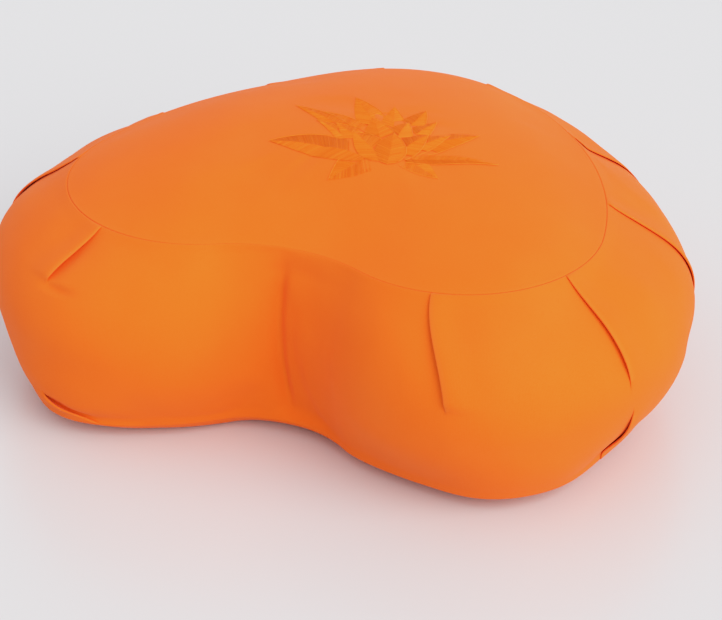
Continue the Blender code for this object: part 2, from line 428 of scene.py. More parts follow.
# %% Press the cloth out
SKIN_COLUMNS, SKIN_BAND_ROWS, SKIN_PANEL_ROWS = 200, 34, 20
SKIN_INNERMOST = 0.06
SKIN_START, SKIN_SPARE = 0.985, 0.012
SKIN_PRESSURE, SKIN_STIFFNESS, SKIN_QUALITY, SKIN_FRAMES = 4.0, 0.3, 6, 20
SKIN_CAP = 0.0008
SKIN_BROAD = (6.0, 9.0)  # rows and columns that count as broad form


def skin_grid():
    """The plain skin by rows: the top from its middle out, the band down, the underside in."""
    places = np.arange(SKIN_COLUMNS) / SKIN_COLUMNS
    panel = np.linspace(SKIN_INNERMOST, 1.0, SKIN_PANEL_ROWS)
    top = plain_top(*np.meshgrid(places, panel))
    band = plain_band(*np.meshgrid(places, np.linspace(0, BAND_HEIGHT, SKIN_BAND_ROWS)))
    base = plain_base(*np.meshgrid(places, panel[::-1]))
    return np.concatenate((top, band[1:-1], base))


def grid_normals(grid):
    """Directions straight out of the skin at the points of its grid."""
    across = np.roll(grid, -1, axis=1) - np.roll(grid, 1, axis=1)
    down = np.gradient(grid, axis=0)
    return unit(np.cross(across, down))


def blurred(table, row_reach, column_reach):
    """A table smoothed over so many rows and columns. Its columns go round."""
    def spread(reach, shifted):
        steps = np.arange(-3 * int(reach), 3 * int(reach) + 1)
        weights = np.exp(-0.5 * (steps / reach) ** 2)
        return sum(weight * shifted(step) for step, weight in zip(steps, weights)) / weights.sum()

    wide = spread(column_reach, lambda step: np.roll(table, step, axis=1))
    rows = np.arange(len(table))
    return spread(row_reach, lambda step: wide[np.clip(rows + step, 0, len(table) - 1)])


def closed_faces(rows, columns):
    """Quads between rows of points that go round, and triangles to a pole at either end."""
    ring = np.arange(columns)
    first = cap(ring, rows * columns)[:, (2, 1, 0)]
    last = cap(ring + (rows - 1) * columns, rows * columns + 1)[:, (2, 0, 1)]
    return ring_quads(rows, columns), np.stack((first, last), axis=1).reshape(-1, 3)


def face_outwards(mesh):
    """Turns the faces of a closed mesh round if they point into it."""
    shape = bmesh.new()
    shape.from_mesh(mesh)
    if shape.calc_volume(signed=True) < 0:
        bmesh.ops.reverse_faces(shape, faces=shape.faces)
        shape.to_mesh(mesh)
    shape.free()


def solved_mesh(made):
    """A plain mesh of what an object's modifiers make."""
    evaluated = made.evaluated_get(bpy.context.evaluated_depsgraph_get())
    return bpy.data.meshes.new_from_object(evaluated)


def pressed_out(grid, seam_rows_held):
    """How far the cloth solver moves the grid's points, with the seams held."""
    rows, columns = grid.shape[:2]
    middle = np.array((0.0, 0.0, grid[..., 2].mean()))
    start = middle + (grid - middle) * SKIN_START
    poles = start[0].mean(axis=0), start[-1].mean(axis=0)
    quads, caps = closed_faces(rows, columns)
    faces = quads[:, (1, 0, 3, 2)].tolist() + caps[:, (0, 2, 1)].tolist()
    mesh = bpy.data.meshes.new("skin_copy")
    mesh.from_pydata(np.vstack((start.reshape(-1, 3), poles)), [], faces)
    face_outwards(mesh)
    skin = placed("skin_copy", mesh)
    held = skin.vertex_groups.new(name="seams")
    held_points = [row * columns + column for row in seam_rows_held for column in range(columns)]
    held.add(held_points, 1.0, "REPLACE")
    cloth = skin.modifiers.new("filling", "CLOTH")
    cloth.settings.quality = SKIN_QUALITY
    cloth.settings.bending_stiffness = SKIN_STIFFNESS
    cloth.settings.use_pressure = True
    cloth.settings.uniform_pressure_force = SKIN_PRESSURE
    cloth.settings.shrink_min = -SKIN_SPARE
    cloth.settings.vertex_group_mass = "seams"
    cloth.settings.effector_weights.gravity = 0.0
    cloth.collision_settings.use_collision = False
    for moment in range(1, SKIN_FRAMES + 1):
        scene.frame_set(moment)
    result = solved_mesh(skin)
    moved = np.empty(len(result.vertices) * 3)
    result.vertices.foreach_get("co", moved)
    scene.frame_set(1)
    skin.modifiers.remove(cloth)
    bpy.data.objects.remove(skin, do_unlink=True)
    for used in (result, mesh):
        bpy.data.meshes.remove(used)
    return moved.reshape(-1, 3)[: rows * columns].reshape(grid.shape) - start


skin = skin_grid()
top_seam_row, foot_seam_row = SKIN_PANEL_ROWS - 1, SKIN_PANEL_ROWS + SKIN_BAND_ROWS - 2
movement = (pressed_out(skin, (top_seam_row, foot_seam_row)) * grid_normals(skin)).sum(axis=-1)
print("pressure moves the cloth by up to", round(1000 * np.abs(movement).max(), 1), "mm")
skin_fine = blurred(movement, 1.0, 1.2) - blurred(movement, *SKIN_BROAD)
skin_fine = SKIN_CAP * np.tanh(skin_fine / SKIN_CAP)
print("of which", round(1000 * skin_fine.std(), 2), "mm is fine, on average")


TOP_FINE = skin_fine[:SKIN_PANEL_ROWS]
BAND_FINE = skin_fine[top_seam_row: foot_seam_row + 1]


def pressed(fine, share, places):
    """How far the pressure moves the cloth out, at a share of the way down its part of the skin."""
    row = np.clip(share, 0, 1) * (len(fine) - 1)
    return smooth_lookup(fine, row, (places % 1.0) * SKIN_COLUMNS)

# %% [markdown]
# ## Pleats
# The band is longer than the seam that it is sewn to, so the maker folds the spare length under
# itself at ten places. Each fold is a tuck: the upper layer ends in a lip, turns back under
# itself, and turns again to come out as the lower layer. The table says where each tuck starts,
# which side lies on top, how far it runs down from the top seam and up from the foot, how it
# leans, and how wide it gapes.

# %% Pleat table
# A side is 1 where the layer on top lies to the left of someone who looks at it, and -1 to the
# right. The rise is how steeply the lower layer comes out of the tuck. Lengths are in millimetres.
Pleat = namedtuple("Pleat", (
    "name place rise side run_out foot_side "
    "lip reach lean gape foot_reach foot_shift foot_lean foot_gape"
))
PLEATS = [Pleat(*row[:6], *(length / 1000 for length in row[6:])) for row in (
    ("right_back", 0.018, 1.25, 1, 0.45, 1, 1.6, 70, 3, 1.4, 35, 0, 0, 2),
    ("right_shoulder", 0.110, 1.25, -1, 0.45, 1, 1.1, 70, 4, 0.9, 35, 0, 3, 2),
    ("right_side", 0.2025, 1.25, -1, 0.30, 1, 1.4, 95, 5.5, 0.9, 35, 3, 0, 2),
    ("right_front", 0.2995, 1.25, -1, 0.28, -1, 2, 86, -2, 1.8, 60, -5, -2.5, 1),
    ("right_bay", 0.3835, 1.05, -1, 0.10, -1, 2.4, 79, -12.5, 2.4, 0, -12.5, 0, 0),
    ("left_front", 0.6030, 2.0, 1, 0.07, 1, 2.1, 49, 8, 3, 22, 9, -26, 3.4),
    ("left_side", 0.703, 1.25, 1, 0.30, -1, 1.4, 88, 0, 1.1, 35, 0, 3, 2),
    ("left_shoulder", 0.785, 1.25, -1, 0.45, -1, 1.4, 75, 3, 1.4, 35, 3, 0, 2),
    ("left_back", 0.866, 1.25, 1, 0.45, 1, 1.4, 80, -2, 1.4, 35, -2, 2, 2),
    ("middle_back", 0.945, 1.25, -1, 0.45, -1, 1.4, 70, 2, 1.2, 35, 2, -2, 2),
)]
FOLD_HALF_WIDTH, TUCK_DEPTH, LIP_RADIUS = 0.016, 0.0075, 0.00065
LIP_OF_RADII = 2.6  # a low lip is this many of its own radii high
FOLD_OPENING, SHIFT_REACH = 0.0022, 0.055
VALLEY_DEPTH, VALLEY_HALF_WIDTH, VALLEY_ONSET = 0.0022, 0.034, 0.030


def tuck_line(tuck, ways):
    """How far round from its place the line of a tuck lies, for ways down the band."""
    foot_start = BAND_HEIGHT - tuck.foot_reach
    down = ways / tuck.reach
    upper = tuck.lean * (np.clip(down, 0, 1) if tuck.foot_reach else eased(down))
    gap = max(foot_start - tuck.reach, 0.01)
    between = (tuck.foot_shift - tuck.lean) * eased((ways - tuck.reach) / gap)
    foot = np.clip((ways - foot_start) / max(tuck.foot_reach, 0.01), 0, 1) ** 1.2
    return upper + between + tuck.foot_lean * foot


UPPER_SHARES = (0.0, 0.28, 0.52, 0.74, 0.90)
LIP_ANGLES = np.radians((70, 35, 0, -35, -70))
FLAT_COLUMNS = np.concatenate((
    -FOLD_HALF_WIDTH + (FOLD_HALF_WIDTH - 0.0014) * np.array(UPPER_SHARES),
    np.linspace(-0.0007, 0.0003, 5), np.linspace(0.0006, 0.0024, 7),
    np.linspace(0.0036, FOLD_HALF_WIDTH, 5),
))
FOLD_COLUMNS = len(FLAT_COLUMNS)


def folded(amount, lip, gape, rise):
    """Across one tuck: how far round and how high each of its columns lies, for rows of amounts."""
    half, radius = FOLD_HALF_WIDTH, np.minimum(LIP_RADIUS, lip / LIP_OF_RADII)
    under = lip - 2 * radius
    floor = under - gape
    path = [(-half + (half - radius) * share, lip * eased(share) ** 1.2) for share in UPPER_SHARES]
    path += [
        (radius * math.cos(angle), lip - radius + radius * math.sin(angle)) for angle in LIP_ANGLES
    ]
    path += [
        (-TUCK_DEPTH * share, under * (1 - share) + (floor + 0.0005) * share)
        for share in (0.25, 0.6, 1.0)
    ]
    path += [(-TUCK_DEPTH - 0.0003, floor + 0.00025)]
    path += [(-TUCK_DEPTH * share, floor) for share in (1.0, 0.6, 0.25)]
    path += [
        (half * share, floor * (1 - eased(share * rise))) for share in (0.07, 0.20, 0.34, 0.60, 1.0)
    ]
    round_, lifts = (np.stack(np.broadcast_arrays(*part), axis=-1) for part in zip(*path))
    return FLAT_COLUMNS + (round_ - FLAT_COLUMNS) * amount[:, None], lifts * amount[:, None]


def run_out(way, reach, end):
    """How much of a tuck there is at ways from its seam: all of it until it runs out at its end."""
    if not reach:
        return np.zeros_like(way)
    return np.clip(way / FOLD_OPENING, 0, 1) * (1 - eased((way / reach - 1 + end) / end))


def spindle(way, reach):
    """A gape: tight at the seam, widest at two thirds of the reach, and closed at its end."""
    share = np.clip(way / max(reach, 1e-6), 0, 1)
    return share**1.4 * (1 - share) ** 0.7 / 0.264


# %% [markdown]
# In the hollow the band is pulled in between the two lobes, and the cloth of the left lobe rolls
# over a furrow that runs from the seam down to the floor. It bows to the left on its way.

# %% Valleys, furrow and slack
FURROW_PLACE, FURROW_BOW = 0.481, 0.009
FURROW_DEPTH, FURROW_STEEP, FURROW_GENTLE = 0.0050, 0.009, 0.046
FURROW_CREASE, FURROW_CREASE_WIDTH = 0.0032, 0.0034
PUCKER_PLACE, PUCKER_WAY, PUCKER_DEPTH = 0.6040, 0.0510, 0.0026  # across the end of left_front
PUCKER_HALF_LENGTH, PUCKER_HALF_WIDTH = 0.012, 0.0042


def relief(places, ways):
    """How far the band stands out (or in, below nothing) from its plain form, without the tucks."""
    lift = np.zeros(np.broadcast(places, ways).shape)
    for tuck in PLEATS:
        off = metres_round(places, tuck.place) - tuck_line(tuck, ways)
        depth = (1 - eased(ways / tuck.reach / 0.9)) * eased(ways / VALLEY_ONSET)
        if tuck.foot_reach:
            foot = 1 - eased((BAND_HEIGHT - ways) / tuck.foot_reach / 0.9)
            depth = np.maximum(depth, foot)
        lift = lift - VALLEY_DEPTH * bump(off, VALLEY_HALF_WIDTH) * depth
    pucker = bump(metres_round(places, PUCKER_PLACE), PUCKER_HALF_LENGTH)
    lift = lift - PUCKER_DEPTH * pucker * bump(ways - PUCKER_WAY, PUCKER_HALF_WIDTH)
    share = ways / BAND_HEIGHT
    off = metres_round(places, FURROW_PLACE) - FURROW_BOW * 4 * share * (1 - share)
    width = np.where(off > 0, FURROW_STEEP, FURROW_GENTLE)
    trough = FURROW_DEPTH * np.exp(-((off / width) ** 2)) * eased(share / 0.20)
    crease = FURROW_CREASE * np.exp(-((off / FURROW_CREASE_WIDTH) ** 2))
    crease = crease * eased((share - 0.08) / 0.30) * eased((1 - share) / 0.20)
    return lift - (trough + crease) * eased((1 - share) / 0.08)


BAND_SLACK = ((0.0007, 0.055, 1), (0.00025, 0.018, 2))  # height, size and seed of each layer
TOP_SLACK = ((0.0005, 0.06, 3), (0.0002, 0.02, 4))


def slack_at(points, layers):
    """How far its slack lifts the cloth at points, by layers of smooth noise."""
    out = 0.0
    for height, size, seed in layers:
        moved = points.reshape(-1, 3) / size + seed * 7.31
        out = out + height * np.array([noise.noise(Vector(point)) for point in moved])
    return out.reshape(points.shape[:-1])


# %% [markdown]
# ## The band
# Columns run down the band, close together across each tuck, and rows run round it. Each point
# starts on the plain form, moves round the seam and out along the normal as its tuck says, and
# then takes the relief. At both seams the cloth rolls down into the groove, where it is sewn to
# the panel with its right side inwards.

# %% Rows and columns of the band
ROLL_RADIUS, SEAM_GAP = 0.0007, 0.0001
ROLL_ANGLES = np.radians((0, 25, 48, 70, 90))
ROLL_WAYS = SEAM_GAP + ROLL_RADIUS * (1 - np.cos(ROLL_ANGLES))
ROLL_DEPTHS = ROLL_RADIUS * (1 - np.sin(ROLL_ANGLES))
EVEN_COLUMN, EVEN_ROW = 0.0030, 0.0018
FOOT_RUN_OUT = 0.35


def band_rows():
    """Ways and depths of rows from one seam to the other, with a rolled edge at both."""
    near = ROLL_WAYS[-1] + np.array((0.0007, 0.0015, 0.0025, 0.0040))
    low, high = near[-1], BAND_HEIGHT - near[-1]
    middle = np.linspace(low, high, round((BAND_HEIGHT - 2 * low) / EVEN_ROW) + 1)[1:-1]
    upper = np.concatenate((ROLL_WAYS, near))
    ways = np.concatenate((upper, middle, BAND_HEIGHT - near[::-1], BAND_HEIGHT - ROLL_WAYS[::-1]))
    flat = np.zeros(len(ways) - 2 * len(ROLL_DEPTHS))
    return ways, np.concatenate((ROLL_DEPTHS, flat, ROLL_DEPTHS[::-1]))


def tuck_columns(tuck, ways):
    """How far round and how high a tuck's columns lie from its place, by row."""
    foot_ways = BAND_HEIGHT - ways
    there = np.maximum(
        run_out(ways, tuck.reach, tuck.run_out), run_out(foot_ways, tuck.foot_reach, FOOT_RUN_OUT)
    )
    lips = tuck.lip * (0.5 + 0.5 * np.minimum(np.minimum(ways, foot_ways) / 0.02, 1.0))
    gapes = 0.0003 + tuck.gape * spindle(ways, tuck.reach)
    gapes = gapes + tuck.foot_gape * spindle(foot_ways, tuck.foot_reach)
    round_, lifts = folded(there, lips, gapes, tuck.rise)
    middle_way = (tuck.reach + BAND_HEIGHT - tuck.foot_reach) / 2
    turned = np.where(ways < middle_way, tuck.side, tuck.foot_side)[:, None] > 0
    round_ = np.where(turned, -round_[:, ::-1], round_)
    return round_, np.where(turned, lifts[:, ::-1], lifts)


def even_columns(starts):
    """Evenly spaced columns between the tucks, twice as many next to the furrow."""
    furrow = FURROW_PLACE * SEAM_LENGTH
    columns = []
    for here, following in zip(starts, np.append(starts[1:], starts[0] + SEAM_LENGTH)):
        low, high = here + FOLD_HALF_WIDTH, following - FOLD_HALF_WIDTH
        even = list(np.linspace(low, high, max(2, round((high - low) / EVEN_COLUMN)) + 1)[1:-1])
        if low < furrow < high:
            pairs = zip(even, even[1:])
            even += [(one + two) / 2 for one, two in pairs if abs(one - furrow) < 0.02]
        columns += sorted(even)
    return columns


def band_grid():
    """Ways and depths of the band's rows, and how far round, how high and how near a lip each
    of its points lies, by row and column; the last marks the lips for a painted highlight."""
    ways, depths = band_rows()
    starts = np.array([tuck.place for tuck in PLEATS]) * SEAM_LENGTH
    tuck_lines = [tuck_line(tuck, ways) for tuck in PLEATS]
    none = np.zeros(len(ways))
    columns = []  # each with its order round the band first
    for column in even_columns(starts):
        shift = np.zeros(len(ways))
        for start, line in zip(starts, tuck_lines):
            off = abs(metres_round(column / SEAM_LENGTH, start / SEAM_LENGTH)) - FOLD_HALF_WIDTH
            shift += line * bump(max(off, 0.0), SHIFT_REACH)
        columns.append((column, column + shift, none, none))
    for tuck, start, line in zip(PLEATS, starts, tuck_lines):
        round_, lifts = tuck_columns(tuck, ways)
        # The lip columns of a standing tuck take a painted highlight.
        lip_columns = range(5, 10) if tuck.side < 0 else range(FOLD_COLUMNS - 10, FOLD_COLUMNS - 5)
        standing = np.abs(lifts).max(axis=1) > 0.0008
        for column in range(FOLD_COLUMNS):
            order = start - FOLD_HALF_WIDTH + 1e-6 * column
            edge = standing * float(column in lip_columns)
            columns.append((order, start + (round_[:, column] + line), lifts[:, column], edge))
    columns.sort(key=lambda column: column[0])
    _, *tables = zip(*columns)
    return ways, depths, *(np.array(table).T for table in tables)


band_ways, band_depths, band_round, band_lift, band_lip_highlight = band_grid()
print("band grid:", band_round.shape)


# %% Meshes from grids
def mesh_from_grid(name, points, uv, poles, highlight_marks, lap=None):
    """A closed mesh from rows of points that go round, and a pole at either end.

    The cloth map goes on by a lap where the last column meets the first."""
    quads, caps = closed_faces(*points.shape[:2])
    mesh = bpy.data.meshes.new(name)
    faces = quads.tolist() + caps.tolist()
    mesh.from_pydata(np.vstack((points.reshape(-1, 3), poles)), [], faces)
    flat_uv = uv.reshape(-1, 2)
    flat_uv = np.vstack((flat_uv, flat_uv[:1], flat_uv[-1:]))
    corners = [flat_uv[faces] for faces in (quads, caps)]
    for along in (corner[..., 0] for corner in corners if lap):
        along += np.where(along.max(axis=1, keepdims=True) - along > lap / 2, lap, 0.0)
    values = np.concatenate([corner.reshape(-1, 2) for corner in corners])
    layer = mesh.uv_layers.new(name="cloth")
    layer.data.foreach_set("uv", values.astype(np.float32).ravel())
    # This attribute carries the painted highlight along tuck lips and rolled seams.
    attribute = mesh.attributes.new("fold_highlight", "FLOAT", "POINT")
    attribute.data.foreach_set("value", np.append(highlight_marks.ravel(), (0.0, 0.0)).astype(np.float32))
    mesh.update()
    return mesh


def add_piece(name, *grid):
    """A smooth piece of cloth from its grid, with its faces outwards."""
    mesh = mesh_from_grid(name, *grid)
    face_outwards(mesh)
    mesh.shade_smooth()
    return placed(name, mesh)


# %% Build the band
def near_seam(way, reach):
    """How far something has grown at a distance from a seam: nothing at it, all at the reach."""
    return np.clip(way / reach, 0, 1)


def shaped_band(round_, ways, lifts, depths):
    """Points of the band with relief, tucks and rolled edges."""
    places = round_ / SEAM_LENGTH
    ways = np.broadcast_to(ways[:, None], places.shape)
    base = plain_band(places, ways)
    normal = outward_normals(plain_band, places, np.clip(ways, 0.0012, BAND_HEIGHT - 0.0012))
    way = np.minimum(ways, BAND_HEIGHT - ways)
    out = relief(places, ways) * near_seam(way, 0.006) + lifts
    out = out + slack_at(base, BAND_SLACK) * near_seam(way, 0.02) - depths[:, None]
    out = out + pressed(BAND_FINE, ways / BAND_HEIGHT, places) * near_seam(way, 0.008)
    return base + normal * out[..., None]


band_points = shaped_band(band_round, band_ways, band_lift, band_depths)
band_uv = np.stack((band_round, np.broadcast_to(band_ways[:, None], band_round.shape)), axis=-1)


def roll_highlight(way):
    """Where the rolled edge is painted paler, a painted highlight, by its distance from the seam.
    """
    return 0.3 * np.clip(1 - np.abs(way - ROLL_RADIUS) / ROLL_RADIUS, 0, 1)


# The lips of the tucks and the rolled seams take a painted highlight.
band_way = np.minimum(band_ways, BAND_HEIGHT - band_ways)
band_highlight = np.maximum(band_lip_highlight, roll_highlight(band_way)[:, None])


# %% [markdown]
# The top is one sheet, 1.2 mm thick with its turned edge, that lies on the filling. Its rings come
# close together at the rim, where the cloth rolls into the groove.

# %% Top and underside sheets
CLOTH = 0.0012
PANEL_COLUMNS = 300
PLAN_REACH = 0.15  # about how far the rim is from the middle


def panel_rings():
    """Shares and depths of rings from the middle out to the rim, then back inside the cloth, and
    how many there are before that."""
    near = (ROLL_WAYS[-1] + np.array((0.0012, 0.0028, 0.0050)))[::-1]
    middle = np.linspace(0.02, 1 - near[0] / PLAN_REACH, 46)
    outer = np.concatenate((middle, 1 - np.concatenate((near[1:], ROLL_WAYS[::-1])) / PLAN_REACH))
    inner = 1 - np.array((0.0012, 0.0030, 0.0080, 0.03, 0.06)) / PLAN_REACH
    flat = np.zeros(len(outer) - len(ROLL_DEPTHS))
    inner_depths = (ROLL_RADIUS, *[CLOTH] * 6)
    depths = np.concatenate((flat, ROLL_DEPTHS[::-1], inner_depths))
    return np.concatenate((outer, inner, (0.5, 0.2))), depths, len(outer)


def add_sheet(name, surface, up):
    """A panel that lies on a plain surface: the top with its slack, or the underside."""
    shares, depths, outer_count = panel_rings()
    places, shares_out = np.meshgrid(np.arange(PANEL_COLUMNS) / PANEL_COLUMNS, shares)
    base = surface(places, shares_out)
    normal = outward_normals(surface, places, np.clip(shares_out, 0.02, 0.99), step_way=0.008)
    normal *= np.sign(normal[..., 2:3]) * up
    slack = np.zeros(base.shape[:2])
    if up > 0:
        slack = slack_at(base, TOP_SLACK) * near_seam(1 - shares_out, 0.1)
        skin_share = (shares_out - SKIN_INNERMOST) / (1 - SKIN_INNERMOST)
        slack = slack + pressed(TOP_FINE, skin_share, places) * near_seam(1 - shares_out, 0.05)
    points = base + normal * (slack - depths[:, None])[..., None]
    middle = surface(np.zeros(1), np.zeros(1))[0]
    poles = middle, middle - np.array((0, 0, up * CLOTH))
    # The rolled rim takes a painted highlight.
    highlight_marks = roll_highlight((1 - shares) * PLAN_REACH)
    highlight_marks[outer_count:] = 0.0
    highlight_marks = np.broadcast_to(highlight_marks[:, None], points.shape[:2])
    return add_piece(name, points, points[..., :2], poles, highlight_marks)


top_piece = add_sheet("top_cloth", plain_top, 1)
base_piece = add_sheet("base_cloth", plain_base, -1)

# %% [markdown]
# The band is closed over the filling under both sheets, a little clear of them, so that the
# cushion is one filled body.

# %% Close the band over the filling
CLEAR = CLOTH + 0.0004
UNDER_SHARES = np.array((1 - 0.0030 / PLAN_REACH, 1 - 0.010 / PLAN_REACH, 0.85, 0.6, 0.3))
UNDER_DEPTHS = np.array((ROLL_RADIUS + 0.0006, CLEAR, CLEAR, CLEAR, CLEAR))


def filling_rings(surface, up):
    """Rings of the filling inside a sheet, from its rim in, on the band's columns, and a pole."""
    points = surface(*np.meshgrid(band_round[0] / SEAM_LENGTH, UNDER_SHARES))
    points[..., 2] -= up * UNDER_DEPTHS[:, None]
    return points, surface(np.zeros(1), np.zeros(1))[0] - np.array((0, 0, up * CLEAR))


top_filling, top_pole = filling_rings(plain_top, 1)
base_filling, base_pole = filling_rings(plain_base, -1)
pad = len(UNDER_SHARES)
body_points = np.concatenate((top_filling[::-1], band_points, base_filling))
body_uv = np.concatenate((band_uv[:1].repeat(pad, 0), band_uv, band_uv[-1:].repeat(pad, 0)))
body_highlight = np.pad(band_highlight, ((pad, pad), (0, 0)))
band_piece = add_piece(
    "band_cloth", body_points, body_uv, (top_pole, base_pole), body_highlight, SEAM_LENGTH
)
for piece in (top_piece, band_piece, base_piece):
    print(piece.name, len(piece.data.polygons), "faces")

# %% [markdown]
# ## Cotton
# The cloth is a plain weave of soft cotton yarn, a little over half a millimetre from one yarn to
# the next. One node group makes the weave from the piece's own cloth map, so it follows the band
# round its tucks: two sets of ribs that pass over and under each other, a wavering so that no two
# yarns run quite alike, and slubs where a yarn is thicker.

# %% Weave group
YARN_PITCH = 0.00058


def add_node(tree, kind, inputs=(), **settings):
    """A node with its settings, and its inputs set, or linked where they are given a socket."""
    node = tree.nodes.new(kind)
    for setting, value in settings.items():
        setattr(node, setting, value)
    for key, value in dict(inputs).items():
        if isinstance(value, bpy.types.NodeSocket):
            tree.links.new(value, node.inputs[key])
        else:
            node.inputs[key].default_value = value
    return node


def add_math(tree, operation, *values):
    return add_node(tree, "ShaderNodeMath", enumerate(values), operation=operation).outputs[0]


def noise_texture(tree, vector, scale, detail=2.0):
    inputs = {"Vector": vector, "Scale": scale, "Detail": detail}
    return add_node(tree, "ShaderNodeTexNoise", inputs).outputs["Fac"]


def new_group(name, kind, **sockets):
    """An empty node group with its sockets, each named with its way and kind, and its two ends."""
    tree = bpy.data.node_groups.new(name, kind)
    for label, (way, value_kind) in sockets.items():
        tree.interface.new_socket(
            label.rstrip("_").replace("_", " "), in_out=way, socket_type="NodeSocket" + value_kind
        )
    return tree, tree.nodes.new("NodeGroupInput").outputs, tree.nodes.new("NodeGroupOutput").inputs


def weave_group():
    """Height and tone of a plain weave, from a cloth map in metres."""
    tree, given, result = new_group(
        "plain_weave", "ShaderNodeTree",
        Cloth_map=("INPUT", "Vector"), Yarn_pitch=("INPUT", "Float"),
        Height=("OUTPUT", "Float"), Tone=("OUTPUT", "Float"),
    )
    wander = add_node(tree, "ShaderNodeTexNoise", {"Vector": given["Cloth map"], "Scale": 180.0})
    shift = add_node(
        tree, "ShaderNodeVectorMath",
        {0: wander.outputs["Color"], 1: (0.0007, 0.0007, 0.0), 2: given["Cloth map"]},
        operation="MULTIPLY_ADD",
    ).outputs[0]
    split = add_node(tree, "ShaderNodeSeparateXYZ", {0: shift}).outputs
    turns = add_math(tree, "DIVIDE", math.pi, given["Yarn pitch"])
    warp, weft = (
        add_math(tree, "SINE", add_math(tree, "MULTIPLY", split[way], turns)) for way in (0, 1)
    )
    rib_warp, rib_weft = (add_math(tree, "ABSOLUTE", wave) for wave in (warp, weft))
    # A yarn is over the other where the product of the two waves is positive, and else under it.
    over = add_math(tree, "MULTIPLY_ADD", add_math(tree, "MULTIPLY", warp, weft), 0.35, 0.5)
    ribs = add_math(tree, "MULTIPLY", rib_warp, rib_weft)
    slub = noise_texture(tree, shift, 900.0, 3.0)

    def blend(*parts):
        first, *others = (add_math(tree, "MULTIPLY", part, share) for part, share in parts)
        for other in others:
            first = add_math(tree, "ADD", first, other)
        return first

    tree.links.new(blend((ribs, 0.65), (over, 0.5), (slub, 0.25)), result["Height"])
    tree.links.new(blend((ribs, 0.5), (slub, 0.5)), result["Tone"])
    return tree


WEAVE = weave_group()

# %% [markdown]
# The dye takes a little unevenly, and the cloth is painted paler along the lips of the tucks and
# the rolled seams, a painted highlight where those edges catch the light. Those two effects and the
# weave's own tone are mixed into the base colour; the sheen of the cotton's fuzz is a setting of
# the shader itself.

# %% Cotton material
ORANGE = (0.93, 0.131, 0.008)
DEEP_ORANGE = (0.89, 0.114, 0.005)
PALE_ORANGE = (0.96, 0.178, 0.022)


def mix_colours(tree, share, *colours):
    first, second = ((*one, 1.0) if isinstance(one, tuple) else one for one in colours)
    inputs = {"Factor": share, 6: first, 7: second}
    return add_node(tree, "ShaderNodeMix", inputs, data_type="RGBA").outputs[2]


def ramp(tree, value, low, high, out_low=0.0, out_high=1.0):
    ends = {"From Min": low, "From Max": high, "To Min": out_low, "To Max": out_high}
    return add_node(tree, "ShaderNodeMapRange", {"Value": value, **ends}).outputs["Result"]


def new_material(name, **settings):
    """A material with its tree and its one shader, whose own sockets take the settings."""
    material = bpy.data.materials.new(name)
    material.use_nodes = True
    shader = material.node_tree.nodes["Principled BSDF"]
    for label, value in settings.items():
        shader.inputs[label.replace("_", " ")].default_value = value
    return material, material.node_tree, shader


def add_bump(tree, shader, height, strength, distance):
    inputs = {"Height": height, "Strength": strength, "Distance": distance}
    relief_node = add_node(tree, "ShaderNodeBump", inputs)
    tree.links.new(relief_node.outputs["Normal"], shader.inputs["Normal"])


def cotton(name):
    """Woven cotton, dyed a little unevenly, with a painted highlight along folds and rolled edges.
    """
    material, tree, shader = new_material(
        name, Sheen_Weight=0.10, Sheen_Roughness=0.45, Sheen_Tint=(1.0, 0.62, 0.42, 1.0),
        Specular_IOR_Level=0.12,
    )
    cloth_map = add_node(tree, "ShaderNodeUVMap", uv_map="cloth").outputs["UV"]
    weave = add_node(
        tree, "ShaderNodeGroup", {"Cloth map": cloth_map, "Yarn pitch": YARN_PITCH}, node_tree=WEAVE
    ).outputs
    place = add_node(tree, "ShaderNodeTexCoord").outputs["Object"]
    cloud, grain = noise_texture(tree, place, 11.0, 3.0), noise_texture(tree, place, 420.0)
    # The painted highlight along tuck lips and rolled seams.
    fold_highlight = add_node(tree, "ShaderNodeAttribute", attribute_name="fold_highlight").outputs["Fac"]
    colour = mix_colours(tree, ramp(tree, cloud, 0.25, 0.75), DEEP_ORANGE, ORANGE)
    for value, low, high, most, tint in (
        (cloud, 0.5, 0.85, 0.15, PALE_ORANGE),
        (weave["Tone"], 0.2, 0.8, 0.30, PALE_ORANGE),
        (grain, 0.55, 0.75, 0.18, DEEP_ORANGE),
        # painted highlight, paler where lips and rolled seams catch the light
        (fold_highlight, 0.0, 1.0, 0.35, PALE_ORANGE),
    ):
        colour = mix_colours(tree, ramp(tree, value, low, high, 0.0, most), colour, tint)
    tree.links.new(colour, shader.inputs["Base Color"])
    tree.links.new(ramp(tree, weave["Tone"], 0.0, 1.0, 0.92, 0.80), shader.inputs["Roughness"])
    add_bump(tree, shader, weave["Height"], 0.35, 0.00018)
    return material


for piece, part in ((top_piece, "top"), (band_piece, "band"), (base_piece, "base")):
    piece.data.materials.append(cotton(part + "_orange_cotton"))

# %% [markdown]
# ## The lotus
# The flower is machine embroidery in thread of the cloth's own colour, so it shows only by its
# sheen and its low relief. Each petal is two halves of satin stitch, laid slantwise from the
# midrib to the edge, inside an outline of short stem stitches. The outline stitches are painted
# paler, a painted glint, and each petal's tone is partly its dye and partly painted sheen. The
# petals are drawn here from a table: where each starts and ends, measured right and away from the
# flower's base, how wide it is and how it bends. A petal further down the table lies on top of
# those before it.

# %% Petal table
LOTUS_BASE, LOTUS_TURN_DEG = np.array((0.033, -0.052)), 18.0
